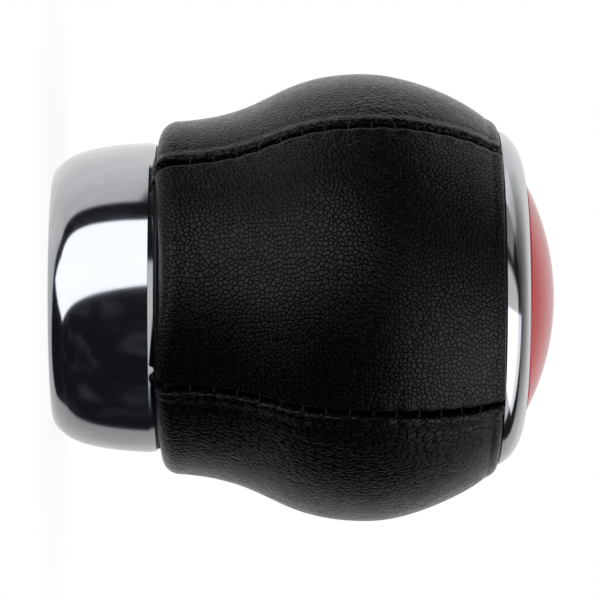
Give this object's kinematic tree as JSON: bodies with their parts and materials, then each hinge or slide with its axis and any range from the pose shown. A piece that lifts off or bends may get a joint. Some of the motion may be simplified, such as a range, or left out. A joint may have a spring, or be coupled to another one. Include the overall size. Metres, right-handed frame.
{
  "type": "gear shift knob",
  "caption": "Gear shift knob for a manual gearbox: sewn leather ball on a moulded core, between a chrome collar that takes the gaiter and a chrome bezel with a red domed cap.",
  "frame": {"origin": "centre of the ring that the collar stands on, on the lever's axis", "axes": "+Z along the lever's axis, from the collar to the cap; the middle of the front panel looks along -Y"},
  "size_m": [0.052, 0.052, 0.0582],
  "materials": {
    "leather": "pebbled grain, semi-matt black",
    "collar_chrome": "bright chrome plating on plastic",
    "bezel_chrome": "bright chrome plating on plastic",
    "cap_red": "polished deep red",
    "black_trim": "fine moulded black",
    "core_nylon": "glass-filled nylon, as moulded",
    "foam": "moulded polyurethane foam skin",
    "insert_brass": "turned and knurled",
    "screw_steel": "zinc-plated",
    "adhesive": "white foam tape"
  },
  "bodies": {
    "root": {"core": "core_nylon", "foam_padding": "foam", "lever_insert": "insert_brass", "leather_front": "leather", "leather_right": "leather", "leather_rear": "leather", "leather_left": "leather", "lower_collar": "collar_chrome", "trim_ring": "black_trim", "collar_screws": "screw_steel", "bezel_carrier": "black_trim", "carrier_screws": "screw_steel", "top_bezel": "bezel_chrome", "cap_adhesive": "adhesive", "shift_cap": "cap_red"}
  },
  "joints": []
}
